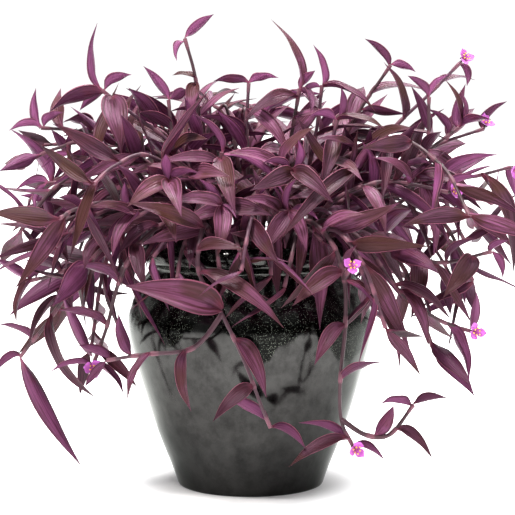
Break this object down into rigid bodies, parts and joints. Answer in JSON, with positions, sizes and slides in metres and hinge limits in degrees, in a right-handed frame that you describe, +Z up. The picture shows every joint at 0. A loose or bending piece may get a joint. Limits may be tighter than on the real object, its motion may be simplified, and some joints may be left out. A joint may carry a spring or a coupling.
{
  "type": "potted purple heart tradescantia",
  "caption": "Purple heart tradescantia with arching and hanging leafy stems and small pink flowers, in a round glazed black pot that stands on its flat base.",
  "frame": {"origin": "centre of the pot's flat base, on the surface that it stands on", "axes": "+Z up along the pot's axis; -Y is the front, where most stems hang down over the rim; +X is to the right seen from the front"},
  "size_m": [0.5991, 0.4726, 0.5401],
  "materials": {
    "glaze": "gloss",
    "potting_mix": "matte",
    "foliage": "satin",
    "petal": "matte"
  },
  "bodies": {
    "root": {"flower_1": "petal", "flower_2": "petal", "flower_3": "petal", "flower_4": "petal", "flower_5": "petal", "flower_6": "petal", "flower_7": "petal", "flower_8": "petal", "leafy_stem_01": "foliage", "leafy_stem_02": "foliage", "leafy_stem_03": "foliage", "leafy_stem_04": "foliage", "leafy_stem_05": "foliage", "leafy_stem_06": "foliage", "leafy_stem_07": "foliage", "leafy_stem_08": "foliage", "leafy_stem_09": "foliage", "leafy_stem_10": "foliage", "leafy_stem_11": "foliage", "leafy_stem_12": "foliage", "leafy_stem_13": "foliage", "leafy_stem_14": "foliage", "leafy_stem_15": "foliage", "leafy_stem_16": "foliage", "leafy_stem_17": "foliage", "leafy_stem_18": "foliage", "leafy_stem_19": "foliage", "leafy_stem_20": "foliage", "leafy_stem_21": "foliage", "leafy_stem_22": "foliage", "leafy_stem_23": "foliage", "leafy_stem_24": "foliage", "leafy_stem_25": "foliage", "leafy_stem_26": "foliage", "leafy_stem_27": "foliage", "leafy_stem_28": "foliage", "leafy_stem_29": "foliage", "leafy_stem_30": "foliage", "leafy_stem_31": "foliage", "leafy_stem_32": "foliage", "leafy_stem_33": "foliage", "leafy_stem_34": "foliage", "leafy_stem_35": "foliage", "leafy_stem_36": "foliage", "leafy_stem_37": "foliage", "leafy_stem_38": "foliage", "leafy_stem_39": "foliage", "leafy_stem_40": "foliage", "leafy_stem_41": "foliage", "leafy_stem_42": "foliage", "leafy_stem_43": "foliage", "leafy_stem_44": "foliage", "leafy_stem_45": "foliage", "leafy_stem_46": "foliage", "pot": "glaze", "soil": "potting_mix"}
  },
  "joints": []
}
